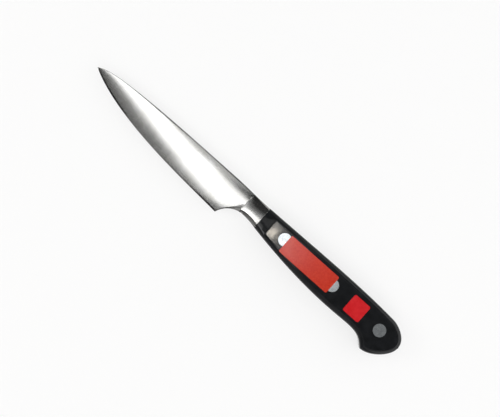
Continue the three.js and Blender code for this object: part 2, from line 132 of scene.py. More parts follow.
@dataclass(frozen=True)
class KnifeLines:
    """The knife's outline as the maker draws it: the back and the underside.

    A depth, drop or height counts from the straight spine and a setback from the butt's end. A reach is
    how far a curve follows the direction of one of its ends.
    """

    blade_length: float = 90.0
    heel_depth: float = 19.6
    tip_drop: float = 5.0
    spine_fall: float = 64.0  # stretch behind the tip over which the spine bends down
    spine_fall_reach: float = 57.0
    tip_spine: Point = (3.2, 1.75)  # run and rise of the spine out of the tip
    edge_tip_reach: float = 24.0
    edge_tip_slope: float = 0.54
    edge_heel_reach: float = 17.0
    edge_heel_slope: float = 0.072
    neck_length: float = 19.3
    neck_height: float = 11.55
    notch_radius: float = 11.5
    neck_reach: float = 3.5
    joint_reach: float = 3.0
    spine_dip: float = 0.5
    spine_dip_length: float = 22.0
    spine_dip_reach: float = 5.5
    spine_level_reach: float = 11.0
    handle_length: float = 91.4
    joint_depth: float = 12.55
    belly_reach: float = 38.0
    belly_slope: float = 0.18
    waist_setback: float = 26.4
    waist_depth: float = 17.35
    waist_reach: float = 7.0
    hook_setback: float = 13.8
    hook_depth: float = 22.4
    hook_hollow: float = 8.7
    hook_lean: Point = (3.1, 2.6)  # run and rise of the hook's front
    butt_lower_reach: float = 5.9
    butt_depth: float = 9.9
    butt_flat: float = 1.0
    butt_top_setback: float = 10.4
    butt_top_drop: float = 1.0
    butt_top_reach: float = 3.6
    butt_end_reach: float = 4.9
    crown_front: Point = (34.0, 0.29)  # run and rise of the handle's back behind the bolster
    crown_rear: Point = (24.0, 1.8)  # and ahead of the butt

    @property
    def heel(self) -> Point:
        """The rear end of the cutting edge."""
        return (-self.neck_length, -self.heel_depth)

    @property
    def tip(self) -> Point:
        """The blade's point."""
        return (self.heel[0] - self.blade_length, -self.tip_drop)

    @property
    def wheel(self) -> Point:
        """Centre of the wheel that grinds the finger notch: it touches the neck and meets the heel."""
        y = -self.neck_height - self.notch_radius
        run = math.sqrt(self.notch_radius**2 - (self.heel[1] - y) ** 2)
        return (self.heel[0] + run, y)

    @property
    def notch_crown(self) -> Point:
        """Where the notch touches the neck."""
        return (self.wheel[0], -self.neck_height)

    @property
    def heel_turn(self) -> float:
        """Angle of the heel about the notch's wheel."""
        return math.atan2(self.heel[1] - self.wheel[1], self.heel[0] - self.wheel[0])

    @property
    def waist_x(self) -> float:
        """The slim place ahead of the hook."""
        return self.handle_length - self.waist_setback

    @property
    def hook_x(self) -> float:
        """The hook's point."""
        return self.handle_length - self.hook_setback

    @property
    def notch(self) -> Span:
        """The finger notch, a round from the heel to the neck's underside."""
        turn, crown = self.heel_turn, self.notch_crown
        handle = self.notch_radius * 4 / 3 * math.tan((turn - math.pi / 2) / 4)
        leave = (self.heel[0] + handle * math.sin(turn), self.heel[1] - handle * math.cos(turn))
        return Span(self.heel, leave, (crown[0] - handle, crown[1]), crown)

    @cached_property
    def back(self) -> tuple[Span, ...]:
        """The spine and the handle's back, from the tip to the butt's end."""
        tip_x, tip_y = self.tip
        fall_end = (tip_x + self.spine_fall, 0.0)
        dip_start = (-self.spine_dip_length, 0.0)
        joint = (0.0, -self.spine_dip)
        top = (self.handle_length - self.butt_top_setback, -self.butt_top_drop)
        end = (self.handle_length, self.butt_flat / 2 - self.butt_depth)
        rear_slope = self.crown_rear[1] / self.crown_rear[0]
        return (
            Span(self.tip, (tip_x + self.tip_spine[0], tip_y + self.tip_spine[1]),
                 (fall_end[0] - self.spine_fall_reach, 0.0), fall_end),
            Span(fall_end, fall_end, dip_start, dip_start),
            Span(dip_start, (dip_start[0] + self.spine_dip_reach, 0.0),
                 (-self.spine_level_reach, joint[1]), joint),
            Span(joint, (self.crown_front[0], joint[1] + self.crown_front[1]),
                 (top[0] - self.crown_rear[0], top[1] + self.crown_rear[1]), top),
            Span(top, (top[0] + self.butt_top_reach, top[1] - self.butt_top_reach * rear_slope),
                 (end[0], end[1] + self.butt_end_reach), end),
        )

    @cached_property
    def under(self) -> tuple[Span, ...]:
        """The cutting edge, finger notch, belly, hook and butt, from the tip to the butt's end."""
        tip_x, tip_y = self.tip
        heel_x, heel_y = self.heel
        crown = self.notch_crown
        joint = (0.0, -self.joint_depth)
        waist = (self.waist_x, -self.waist_depth)
        hook = (self.hook_x, -self.hook_depth)
        end = (self.handle_length, -self.butt_flat / 2 - self.butt_depth)
        return (
            Span(self.tip,
                 (tip_x + self.edge_tip_reach, tip_y - self.edge_tip_reach * self.edge_tip_slope),
                 (heel_x - self.edge_heel_reach, heel_y + self.edge_heel_reach * self.edge_heel_slope),
                 self.heel),
            self.notch,
            Span(crown, (crown[0] + self.neck_reach, crown[1]),
                 (-self.joint_reach, joint[1] + self.joint_reach * self.belly_slope), joint),
            Span(joint, (self.belly_reach, joint[1] - self.belly_reach * self.belly_slope),
                 (waist[0] - self.waist_reach, waist[1]), waist),
            Span(waist, (waist[0] + self.hook_hollow, waist[1]),
                 (hook[0] - self.hook_lean[0], hook[1] + self.hook_lean[1]), hook),
            Span(hook, (hook[0] + self.butt_lower_reach, hook[1]),
                 (end[0], end[1] - self.butt_end_reach), end),
        )

    def heights(self, x: float) -> Point:
        """Heights of the underside and of the back at a place along the knife."""
        return (self.height(self.under, x), self.height(self.back, x))

    @staticmethod
    def height(line: tuple[Span, ...], x: float) -> float:
        """Height of one line at a place along the knife.

        Args:
            line: The line's curves, which all run towards +x.
            x: The place.

        Returns:
            The line's y there.
        """
        span = next((one for one in line if x <= one.end[0]), line[-1])
        low, high = 0.0, 1.0
        for _ in range(HALVINGS):
            middle = (low + high) / 2
            if span.at(middle)[0] < x:
                low = middle
            else:
                high = middle
        return span.at(high)[1]

    def handle_places(self, start: float, belly: int, hook: int, butt: int) -> list[float]:
        """Places along the handle for its sections, closest where its outline turns most.

        Args:
            start: The first place.
            belly: How many lie ahead of the waist.
            hook: How many lie from there to the hook's point.
            butt: How many lie from there to the butt's end.

        Returns:
            The places in rising order.
        """
        return [
            *evenly(start, self.waist_x, belly),
            *evenly(self.waist_x, self.hook_x, hook),
            *closing(self.hook_x, self.handle_length, butt),
            self.handle_length,
        ]


@dataclass(frozen=True)
class Corner:
    """A corner of a section within its rise and its inset: bulge 0 is a bevel, 1 a full round."""

    rise: float
    inset: float
    bulge: float = 1.0

    def toward(self, other: "Corner", share: float) -> "Corner":
        """The corner at a share of the way to another."""
        return Corner(
            mix(self.rise, other.rise, share),
            mix(self.inset, other.inset, share),
            mix(self.bulge, other.bulge, share),
        )

    def at(self, t: float) -> Point:
        """Shares of the rise and of the inset at t from 0, on the wall, to 1, on the face."""
        turn = math.pi / 2 * t
        return (mix(t, 1 - math.cos(turn), self.bulge), mix(t, math.sin(turn), self.bulge))


def half_section(low_end: float, high_end: float, face: Callable[[float], float],
                 lower: Corner, upper: Corner) -> Section:
    """One half of a section, from its underside's middle round its left face to its back's middle.

    Args:
        low_end: Height of the underside.
        high_end: Height of the back.
        face: Half the thickness at a height.
        lower: Corner at the underside.
        upper: Corner at the back.

    Returns:
        The section's points, the same number for every section.
    """
    low, high = low_end + lower.rise, high_end - upper.rise
    shares = [step / CORNER_STEPS for step in range(CORNER_STEPS + 1)]
    section = [(low_end, 0.0)]
    for share in shares:
        out, up = lower.at(share)
        section.append((low_end + lower.rise * out, face(low) - lower.inset * (1 - up)))
    for step in range(1, FACE_STEPS):
        y = mix(low, high, step / FACE_STEPS)
        section.append((y, face(y)))
    for share in reversed(shares):
        out, up = upper.at(share)
        section.append((high_end - upper.rise * out, face(high) - upper.inset * (1 - up)))
    section.append((high_end, 0.0))
    return section


def skin(stations: list[Station]) -> BMesh:
    """A skin over sections along the knife: a grid whose rows are moved onto them.

    Args:
        stations: Places along x with their sections, which all have as many points.

    Returns:
        The skin, in millimetres in the knife's frame.
    """
    rows, columns = len(stations) - 1, len(stations[0][1]) - 1
    made = bmesh.new()
    bmesh.ops.create_grid(made, x_segments=rows, y_segments=columns, size=0.5)
    for vert in made.verts:
        x, section = stations[round((vert.co.x + 0.5) * rows)]
        vert.co = (x, *section[round((vert.co.y + 0.5) * columns)])
    return made


def merge(made: BMesh) -> None:
    """Merges a mesh's doubles, drops its empty faces and turns the rest outwards.

    Args:
        made: The mesh, in millimetres.
    """
    bmesh.ops.remove_doubles(made, verts=made.verts[:], dist=WELD)
    bmesh.ops.dissolve_degenerate(made, dist=WELD, edges=made.edges[:])
    bmesh.ops.recalc_face_normals(made, faces=made.faces[:])


def upright(edges: Iterable[BMEdge]) -> list[BMEdge]:
    """Those of some edges that stand along z."""
    return [edge for edge in edges if abs(edge.verts[0].co.z - edge.verts[1].co.z) > WELD]


def round_off(made: BMesh, edges: list[BMEdge], size: float, steps: int) -> None:
    """Rounds edges of a mesh off by a size, in some steps."""
    bmesh.ops.bevel(made, geom=edges, offset=size, segments=steps, profile=0.5, affect="EDGES",
                    material=-1)


def shade(mesh: Mesh, crease: float) -> None:
    """Shades a mesh smooth, apart from edges that turn by more than the crease, in degrees."""
    mesh.shade_smooth()
    mesh.set_sharp_from_angle(angle=math.radians(crease))


def put_in_scene(made: BMesh, name: str) -> Object:
    """Makes an object of a mesh.

    Args:
        made: The mesh in metres, which is used up.
        name: The object's name.

    Returns:
        The object, at the origin.
    """
    mesh = bpy.data.meshes.new(name)
    made.to_mesh(mesh)
    made.free()
    thing = bpy.data.objects.new(name, mesh)
    bpy.context.scene.collection.objects.link(thing)
    return thing


@dataclass(frozen=True)
class KnifePlace:
    """Where the knife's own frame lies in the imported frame."""

    lines: KnifeLines
    joint_gap: float = 0.1  # bolster to scale

    @cached_property
    def origin(self) -> Vector:
        """The knife frame's origin in millimetres: the scales' front, the straight spine, the middle."""
        scale_low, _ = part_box("left_scale")
        steel_low, steel_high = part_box("forged_blade")
        return Vector((
            scale_low[0] / MILLIMETRE - self.joint_gap,
            steel_low[1] / MILLIMETRE + self.lines.hook_depth,
            (steel_low[2] + steel_high[2]) / 2 / MILLIMETRE,
        ))

    @property
    def matrix(self) -> Matrix:
        """Takes millimetres in the knife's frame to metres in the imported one."""
        return Matrix.Scale(MILLIMETRE, 4) @ Matrix.Translation(self.origin)

    def settle(self, made: BMesh, name: str, crease: float) -> Object:
        """Makes a piece of a finished mesh and puts it in its place.

        Args:
            made: The mesh in the knife's frame, which is used up.
            name: The piece's name.
            crease: Edges that turn by more than this, in degrees, stay sharp.

        Returns:
            The piece, at the origin with its place in its mesh.
        """
        merge(made)
        bmesh.ops.transform(made, matrix=self.matrix, verts=made.verts[:])
        piece = put_in_scene(made, name)
        shade(piece.data, crease)
        return piece


def linear(colour: str) -> tuple[float, float, float, float]:
    """An sRGB hex colour as linear red, green, blue and alpha."""
    channels = [int(colour[at:at + 2], 16) / 255 for at in (1, 3, 5)]
    return (*(c / 12.92 if c <= 0.04045 else ((c + 0.055) / 1.055) ** 2.4 for c in channels), 1.0)


def add_node(tree: NodeTree, kind: str, inputs: Inputs | None = None, **settings: object) -> Node:
    """Adds a node, sets it and links it.

    Args:
        tree: The material's node tree.
        kind: The node's type.
        inputs: Values or output sockets for its inputs, by name or number.
        settings: Values for its own properties.

    Returns:
        The node.
    """
    node = tree.nodes.new(kind)
    for name, value in settings.items():
        setattr(node, name, value)
    for name, value in (inputs or {}).items():
        if isinstance(value, NodeSocket):
            tree.links.new(value, node.inputs[name])
        else:
            node.inputs[name].default_value = value
    return node


def new_material(name: str) -> Material:
    """An empty material.

    Args:
        name: The material's name.

    Returns:
        The material, with no nodes.
    """
    material = bpy.data.materials.new(name)
    material.use_nodes = True
    material.node_tree.nodes.clear()
    return material


@dataclass(frozen=True)
class Finish:
    """A surface as its maker leaves it: two close tones, a gloss that varies a little, a fine relief."""

    place: KnifePlace
    name: str = ""
    tone: str = ""
    other_tone: str = ""
    roughness: float = 0.5
    roughness_play: float = 0.0
    relief_depth: float = 0.0  # millimetres
    noise_detail: float = 3.0
    noise_roughness: float = 0.6
    noise_low: float = 0.3  # the noise's own values that become 0 and 1
    noise_high: float = 0.7

    @cached_property
    def result(self) -> Material:
        """The material, which the methods below fill with nodes."""
        return new_material(self.name)

    @property
    def tree(self) -> NodeTree:
        """The material's node tree."""
        return self.result.node_tree

    @cached_property
    def where(self) -> NodeSocket:
        """The place on the knife in millimetres."""
        drawing = add_node(
            self.tree, "ShaderNodeMapping",
            {
                "Vector": add_node(self.tree, "ShaderNodeTexCoord").outputs["Object"],
                "Scale": (1 / MILLIMETRE,) * 3,
                "Location": -self.place.origin,
            },
        )
        return drawing.outputs["Vector"]

    def pattern(self, along: float, across: float, seed: float) -> NodeSocket:
        """Fine lines or clouds of a given size.

        Args:
            along: Size of one line along x, in millimetres.
            across: Its size along y and z.
            seed: Shifts the pattern.

        Returns:
            The pattern's height from 0 to 1.
        """
        scale = (1 / along, 1 / across, 1 / across)
        stretched = add_node(
            self.tree, "ShaderNodeMapping",
            {"Vector": self.where, "Scale": scale, "Location": (seed,) * 3},
        )
        noise = add_node(
            self.tree, "ShaderNodeTexNoise",
            {
                "Vector": stretched.outputs["Vector"],
                "Scale": 1.0,
                "Detail": self.noise_detail,
                "Roughness": self.noise_roughness,
            },
        )
        spread = add_node(
            self.tree, "ShaderNodeMapRange",
            {"Value": noise.outputs["Fac"], "From Min": self.noise_low, "From Max": self.noise_high},
        )
        return spread.outputs["Result"]

    def gloss(self, share: NodeSocket, roughness: float) -> NodeSocket:
        """A roughness that plays about its value.

        Args:
            share: The pattern that it follows.
            roughness: Its middle value.

        Returns:
            The roughness.
        """
        low, high = roughness - self.roughness_play, roughness + self.roughness_play
        inputs = {"Value": share, "To Min": low, "To Max": high}
        return add_node(self.tree, "ShaderNodeMapRange", inputs).outputs["Result"]

    def close(self, tones: NodeSocket, relief: NodeSocket, inputs: Inputs) -> Material:
        """Ends the material in one shader.

        Args:
            tones: The pattern that goes from one tone to the other.
            relief: The pattern of the surface's height.
            inputs: The shader's other inputs.

        Returns:
            The finished material.
        """
        tint = add_node(
            self.tree, "ShaderNodeMix",
            {"Factor": tones, "A": linear(self.tone), "B": linear(self.other_tone)},
            data_type="RGBA",
        )
        bump = add_node(
            self.tree, "ShaderNodeBump",
            {"Height": relief, "Strength": 1.0, "Distance": self.relief_depth * MILLIMETRE},
        )
        surface = {"Base Color": tint.outputs["Result"], "Normal": bump.outputs["Normal"], **inputs}
        shader = add_node(self.tree, "ShaderNodeBsdfPrincipled", surface)
        add_node(self.tree, "ShaderNodeOutputMaterial", {"Surface": shader.outputs["BSDF"]})
        return self.result


@dataclass(frozen=True)
class GroundSteel(Finish):
    """Stainless steel, ground across the blade and polished on the bolster."""

    name: str = "ground_stainless_steel"
    tone: str = "#CACAC9"
    other_tone: str = "#C3C2BE"
    roughness: float = 0.085
    roughness_play: float = 0.015
    relief_depth: float = 0.0004
    bolster_start: float = -10.8  # between these places the grinding gives way to the bolster's polish
    bolster_end: float = -10.5
    bolster_roughness: float = 0.15
    grind_spacing: float = 0.4  # grit leaves finer lines, drawn coarser so that they show
    grind_length: float = 26.0
    polish_spacing: float = 0.45  # drawn coarser too
    polish_length: float = 18.0
    clouding: float = 7.0

    def material(self) -> Material:
        """Bright satin that breaks a reflection's edge into fine lines across the blade.

        Returns:
            The material.
        """
        ground = self.pattern(self.grind_spacing, self.grind_length, seed=3.7)
        polished = self.pattern(self.polish_length, self.polish_spacing, seed=11.3)
        clouds = self.pattern(self.clouding, self.clouding, seed=23.1)
        x = add_node(self.tree, "ShaderNodeSeparateXYZ", {"Vector": self.where}).outputs["X"]
        on_bolster = add_node(
            self.tree, "ShaderNodeMapRange",
            {"Value": x, "From Min": self.bolster_start, "From Max": self.bolster_end},
        ).outputs["Result"]
        relief = add_node(self.tree, "ShaderNodeMix", {"Factor": on_bolster, "A": ground, "B": polished})
        gloss = add_node(
            self.tree, "ShaderNodeMix",
            {
                "Factor": on_bolster,
                "A": self.gloss(ground, self.roughness),
                "B": self.gloss(polished, self.bolster_roughness),
            },
        )
        inputs = {"Metallic": 1.0, "Roughness": gloss.outputs["Result"]}
        return self.close(clouds, relief.outputs["Result"], inputs)


@dataclass(frozen=True)
class BuffedAcetal(Finish):
    """Black acetal, moulded, sanded across the grip and buffed."""

    name: str = "buffed_black_acetal"
    tone: str = "#151617"
    other_tone: str = "#1E1F21"
    roughness: float = 0.05
    roughness_play: float = 0.012
    relief_depth: float = 0.001
    ior: float = 1.48
    specular: float = 0.3
    sanding_spacing: float = 0.6  # drawn coarser than the grit so that it shows
    sanding_length: float = 14.0
    clouding: float = 5.0

    def material(self) -> Material:
        """Deep black with a soft gloss, broken by faint lines across the grip.

        Returns:
            The material.
        """
        sanded = self.pattern(self.sanding_spacing, self.sanding_length, seed=5.9)
        clouds = self.pattern(self.clouding, self.clouding, seed=17.7)
        gloss = self.gloss(sanded, self.roughness)
        inputs = {"Roughness": gloss, "IOR": self.ior, "Specular IOR Level": self.specular}
        return self.close(clouds, sanded, inputs)


@dataclass(frozen=True)
class RivetSteel(Finish):
    """Stainless steel, ground flush with the scales."""

    name: str = "ground_rivet_steel"
    tone: str = "#C3C7C9"
    other_tone: str = "#AFB5B8"
    roughness: float = 0.09
    roughness_play: float = 0.01
    relief_depth: float = 0.0002
    slant: float = 0.03  # a head mirrors as if its face rose this much per millimetre towards the edge
    scratch_spacing: float = 0.35  # drawn coarser than the grit so that they show
    scratch_length: float = 6.0
    clouding: float = 1.6

    def material(self) -> Material:
        """Dull bright discs a touch off level, with faint scratches and a soft bloom.

        Returns:
            The material.
        """
        scratched = self.pattern(self.scratch_spacing, self.scratch_length, seed=8.3)
        clouds = self.pattern(self.clouding, self.clouding, seed=29.9)
        y = add_node(self.tree, "ShaderNodeSeparateXYZ", {"Vector": self.where}).outputs["Y"]
        relief = add_node(
            self.tree, "ShaderNodeMath",
            {0: y, 1: -self.slant / self.relief_depth, 2: scratched},
            operation="MULTIPLY_ADD",
        )
        gloss = self.gloss(clouds, self.roughness)
        return self.close(clouds, relief.outputs[0], {"Metallic": 1.0, "Roughness": gloss})


@dataclass(frozen=True)
class CoatedPaper(Finish):
    """Red printed paper with a thin gloss coat."""

    name: str = "coated_red_paper"
    tone: str = "#B92B19"
    other_tone: str = "#C5351F"
    roughness: float = 0.12
    roughness_play: float = 0.02
    relief_depth: float = 0.0015
    ior: float = 1.6
    fibre: float = 0.9  # clumps of fibres, drawn coarser than they are so that they show
    ripple: float = 5.0

    def material(self) -> Material:
        """Flat printed red with a faint mottle, and a sheen that ripples a little.

        Returns:
            The material.
        """
        fibres = self.pattern(self.fibre, self.fibre, seed=2.3)
        ripples = self.pattern(self.ripple, self.ripple, seed=13.1)
        gloss = self.gloss(fibres, self.roughness)
        return self.close(fibres, ripples, {"Roughness": gloss, "IOR": self.ior})


@dataclass(frozen=True)
class RedEnamel(Finish):
    """Red enamel, poured and polished."""

    name: str = "red_enamel"
    tone: str = "#C21A20"
    other_tone: str = "#CE2328"
    roughness: float = 0.12
    roughness_play: float = 0.03
    relief_depth: float = 0.001
    ior: float = 1.52
    pool: float = 2.5

    def material(self) -> Material:
        """Deep glossy red that pools a little unevenly.

        Returns:
            The material.
        """
        pools = self.pattern(self.pool, self.pool, seed=7.9)
        gloss = self.gloss(pools, self.roughness)
        return self.close(pools, pools, {"Roughness": gloss, "IOR": self.ior})


@dataclass
class Piece:
    """What every piece of the knife has: its place and how it joins the frame."""

    place: KnifePlace

    @property
    def lines(self) -> KnifeLines:
        """The knife's outline."""
        return self.place.lines

    def join(self, piece: Object, node: str, slot: str, material: Material) -> None:
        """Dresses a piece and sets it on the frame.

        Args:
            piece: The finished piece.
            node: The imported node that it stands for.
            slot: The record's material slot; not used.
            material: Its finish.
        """
        piece.data.materials.clear()
        piece.data.materials.append(material)
        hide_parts(node)
        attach(piece, "root")
        log.info("%s: %d faces, stands for %s", piece.name, len(piece.data.polygons), node)


@dataclass
class Forging(Piece):
    """The steel: ground blade, finger notch, flared bolster and full tang in one piece."""

    spine_thickness: float = 2.2
    tip_thickness: float = 0.5
    grind_thickness: float = 0.4
    bevel_height: float = 0.9
    bevel_share: float = 0.75  # the bevel's largest share of the blade's height, near the tip
    spine_ease: float = 0.15
    grind_curve: float = 1.6  # 1 is a flat grind, more is a fuller one
    bolster_thickness: float = 9.2
    bolster_lead: float = 2.4  # the bolster starts this far ahead of the notch's crown
    bolster_crown: float = 0.6  # how far its sides fall away from their ridge
    ridge_front: float = -6.4  # height of the crown's ridge at the bolster's front
    ridge_rear: float = -5.9  # and at the scales
    bolster_growth: float = 4.0  # 1 shapes its sides evenly towards the scales, more does it sooner
    bolster_round: float = 1.2
    heel_rim: Corner = Corner(0.6, 0.05, 0.0)  # the notch's worn edge at the heel
    neck_rim: Corner = Corner(6.2, 0.5, 0.5)  # where it runs up to the bolster
    rim_growth: float = 3.5  # 1 widens it evenly on the way there, more does it later
    front_rim: Corner = Corner(1.4, 0.35, 0.0)  # on the bolster's front
    bolster_rim: Corner = Corner(2.05, 1.35, 0.2)  # and at the scales
    tang_thickness: float = 2.4
    tang_ease: float = 0.12
    blade_steps: int = 150
    blade_crowding: float = 1.3
    notch_steps: int = 40
    bolster_steps: int = 50
    bolster_crowding: float = 1.4
    handle_steps: tuple[int, int, int] = (60, 30, 50)  # to the waist, the hook's point and the butt's end
    crease: float = 10.5

    @property
    def bolster_front(self) -> float:
        """Where the ground faces end and the flare starts."""
        return self.lines.wheel[0] - self.bolster_lead

    def ground_face(self, x: float) -> Callable[[float], float]:
        """Half the thickness of the ground blade.

        Args:
            x: Place along the blade.

        Returns:
            A function from the height to half the thickness there.
        """
        low, top = self.lines.heights(x)
        edge = low if x < self.lines.heel[0] else self.lines.heel[1]
        along = (x - self.lines.tip[0]) / self.lines.blade_length
        half = mix(self.tip_thickness, self.spine_thickness, along) / 2
        edge_half = min(self.grind_thickness / 2, half)
        return lambda y: mix(half, edge_half, max(0.0, (top - y) / (top - edge)) ** self.grind_curve)

    def blade_section(self, x: float) -> Station:
        """A section of the blade, with its cutting bevel and eased spine.

        Args:
            x: Place along the blade.

        Returns:
            The place and its section.
        """
        low, top = self.lines.heights(x)
        face = self.ground_face(x)
        rise = min(self.bevel_height, (top - low) * self.bevel_share)
        ease = min(self.spine_ease, (top - low - rise) / 2)
        bevel = Corner(rise, face(low + rise), bulge=0.0)
        return (x, half_section(low, top, face, bevel, Corner(ease, ease)))

    def neck_section(self, x: float) -> Station:
        """A section of the neck, where the notch cuts the ground faces off in a growing worn edge.

        Args:
            x: Place along the neck.

        Returns:
            The place and its section.
        """
        low, top = self.lines.heights(x)
        heel = self.lines.heel[0]
        along = (x - heel) / (self.bolster_front - heel)
        lower = self.heel_rim.toward(self.neck_rim, along**self.rim_growth)
        upper = Corner(self.spine_ease, self.spine_ease)
        return (x, half_section(low, top, self.ground_face(x), lower, upper))

    def bolster_section(self, along: float) -> Station:
        """A section of the bolster.

        Args:
            along: 0 at its front, 1 at the scales.

        Returns:
            The section's place and the section.
        """
        x = self.bolster_front * (1 - along)
        low, top = self.lines.heights(x)
        ground = self.ground_face(x)
        half = mix(ground(top), self.bolster_thickness / 2, along)
        shaped = 1 - (1 - along) ** self.bolster_growth
        crown = self.bolster_crown * shaped
        ridge, reach = mix(self.ridge_front, self.ridge_rear, along), (top - low) / 2

        def face(y: float) -> float:
            """Half the thickness at a height: the ground face swells into a crowned side."""
            grind = (ground(y) - ground(top)) * (1 - shaped)
            return half + grind - crown * ((y - ridge) / reach) ** 2

        lower = self.front_rim.toward(self.bolster_rim, shaped)
        round_size = mix(self.spine_ease, self.bolster_round, along)
        return (x, half_section(low, top, face, lower, Corner(round_size, round_size)))

    def tang_section(self, x: float) -> Station:
        """A section of the tang, a plate between the scales.

        Args:
            x: Place along the handle.

        Returns:
            The place and its section.
        """
        low, top = self.lines.heights(x)
        ease = Corner(self.tang_ease, self.tang_ease)
        return (x, half_section(low, top, lambda y: self.tang_thickness / 2, ease, ease))

    def stations(self) -> list[Station]:
        """Sections from the tip to the butt, closest where the outline turns most.

        Returns:
            The sections and their places, closed to a point and to an edge at the two ends.
        """
        lines = self.lines
        blade = evenly(lines.tip[0], lines.heel[0], self.blade_steps, self.blade_crowding)[1:]
        neck_turn = math.acos(-self.bolster_lead / lines.notch_radius)
        turns = evenly(lines.heel_turn, neck_turn, self.notch_steps)[1:]
        neck = [lines.wheel[0] + lines.notch_radius * math.cos(turn) for turn in turns]
        bolster = evenly(0.0, 1.0, self.bolster_steps, self.bolster_crowding)
        stations = [
            *map(self.blade_section, [*blade, lines.heel[0]]),
            *map(self.neck_section, [*neck, self.bolster_front]),
            *map(self.bolster_section, [*bolster, 1.0]),
            *map(self.tang_section, lines.handle_places(0.0, *self.handle_steps)),
        ]
        last = stations[-1][1]
        tip = [(lines.tip[1], 0.0)] * len(last)
        butt = [(y, 0.0) for y, _ in last]
        return [(lines.tip[0], tip), *stations, (lines.handle_length, butt)]

    def sharpen_plunge(self, mesh: Mesh) -> None:
        """Keeps the line sharp where the ground faces end at the bolster.

        Args:
            mesh: The forging's mesh, in its place.
        """
        front = (self.bolster_front + self.place.origin.x) * MILLIMETRE
        for edge in mesh.edges:
            ends = (mesh.vertices[number].co.x for number in edge.vertices)
            if all(abs(end - front) < WELD * MILLIMETRE for end in ends):
                edge.use_edge_sharp = True

    def build(self) -> Object:
        """Makes the left half as a skin, and its mirror image.

        Returns:
            The forging.
        """
        made = skin(self.stations())
        whole = made.verts[:] + made.edges[:] + made.faces[:]
        bmesh.ops.mirror(made, geom=whole, axis="Z", merge_dist=WELD)
        piece = self.place.settle(made, "blade_forging", self.crease)
        self.sharpen_plunge(piece.data)
        return piece


@dataclass
class Plate(Piece):
    """A thin flat piece with round corners on the left scale."""

    name: str
    centre: Point
    size: Point
    bottom: float
    thickness: float
    corner: float
    edge_ease: float
    corner_steps: int = 10
    ease_steps: int = 3
    crease: float = 10.0

    def build(self) -> Object:
        """Makes a rectangle, extruded, with its corners rounded and its upper edge eased.

        Returns:
            The plate.
        """
        made = bmesh.new()
        at = Matrix.Translation((*self.centre, self.bottom))
        size = Matrix.Diagonal((*self.size, 1, 1))
        bmesh.ops.create_grid(made, x_segments=1, y_segments=1, size=0.5, matrix=at @ size)
        raised = bmesh.ops.extrude_face_region(made, geom=made.faces[:])
        top = [item for item in raised["geom"] if isinstance(item, BMVert)]
        bmesh.ops.translate(made, vec=(0, 0, self.thickness), verts=top)
        merge(made)
        round_off(made, upright(made.edges), self.corner, self.corner_steps)
        level = self.bottom + self.thickness - WELD
        rim = [e for e in made.edges if min(v.co.z for v in e.verts) > level and not e.is_boundary]
        round_off(made, rim, self.edge_ease, self.ease_steps)
        return self.place.settle(made, self.name, self.crease)


